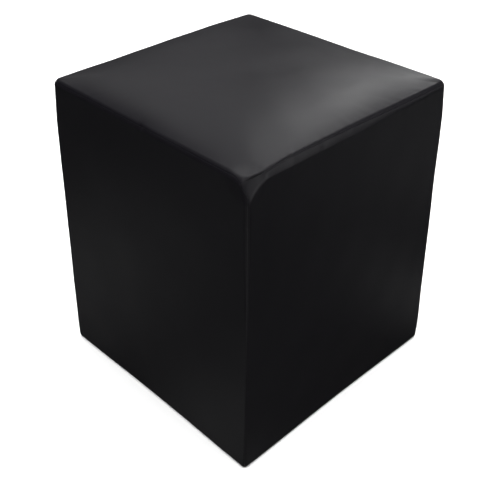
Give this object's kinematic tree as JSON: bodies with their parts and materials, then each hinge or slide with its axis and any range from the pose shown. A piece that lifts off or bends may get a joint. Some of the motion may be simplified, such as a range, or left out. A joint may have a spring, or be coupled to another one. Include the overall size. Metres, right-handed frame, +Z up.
{
  "type": "cube pouf stool",
  "caption": "Upholstered cube seat with a slightly crowned top rolled over its edges, flat sewn sides drawn in a little towards the top, and a flat underside to stand on.",
  "frame": {"origin": "middle of the underside, on the floor", "axes": "+Z up, -Y towards the front panel (the picture's left face), +X towards the right panel (the picture's right face)"},
  "size_m": [0.3817, 0.3882, 0.4503],
  "materials": {
    "faux_leather": "black coated cloth with a fine embossed grain and a satin sheen",
    "base_cloth": "matt black nonwoven base cloth"
  },
  "bodies": {
    "root": {"top_panel": "faux_leather", "side_panel_front": "faux_leather", "side_panel_right": "faux_leather", "side_panel_back": "faux_leather", "side_panel_left": "faux_leather", "underside_panel": "base_cloth"}
  },
  "joints": []
}
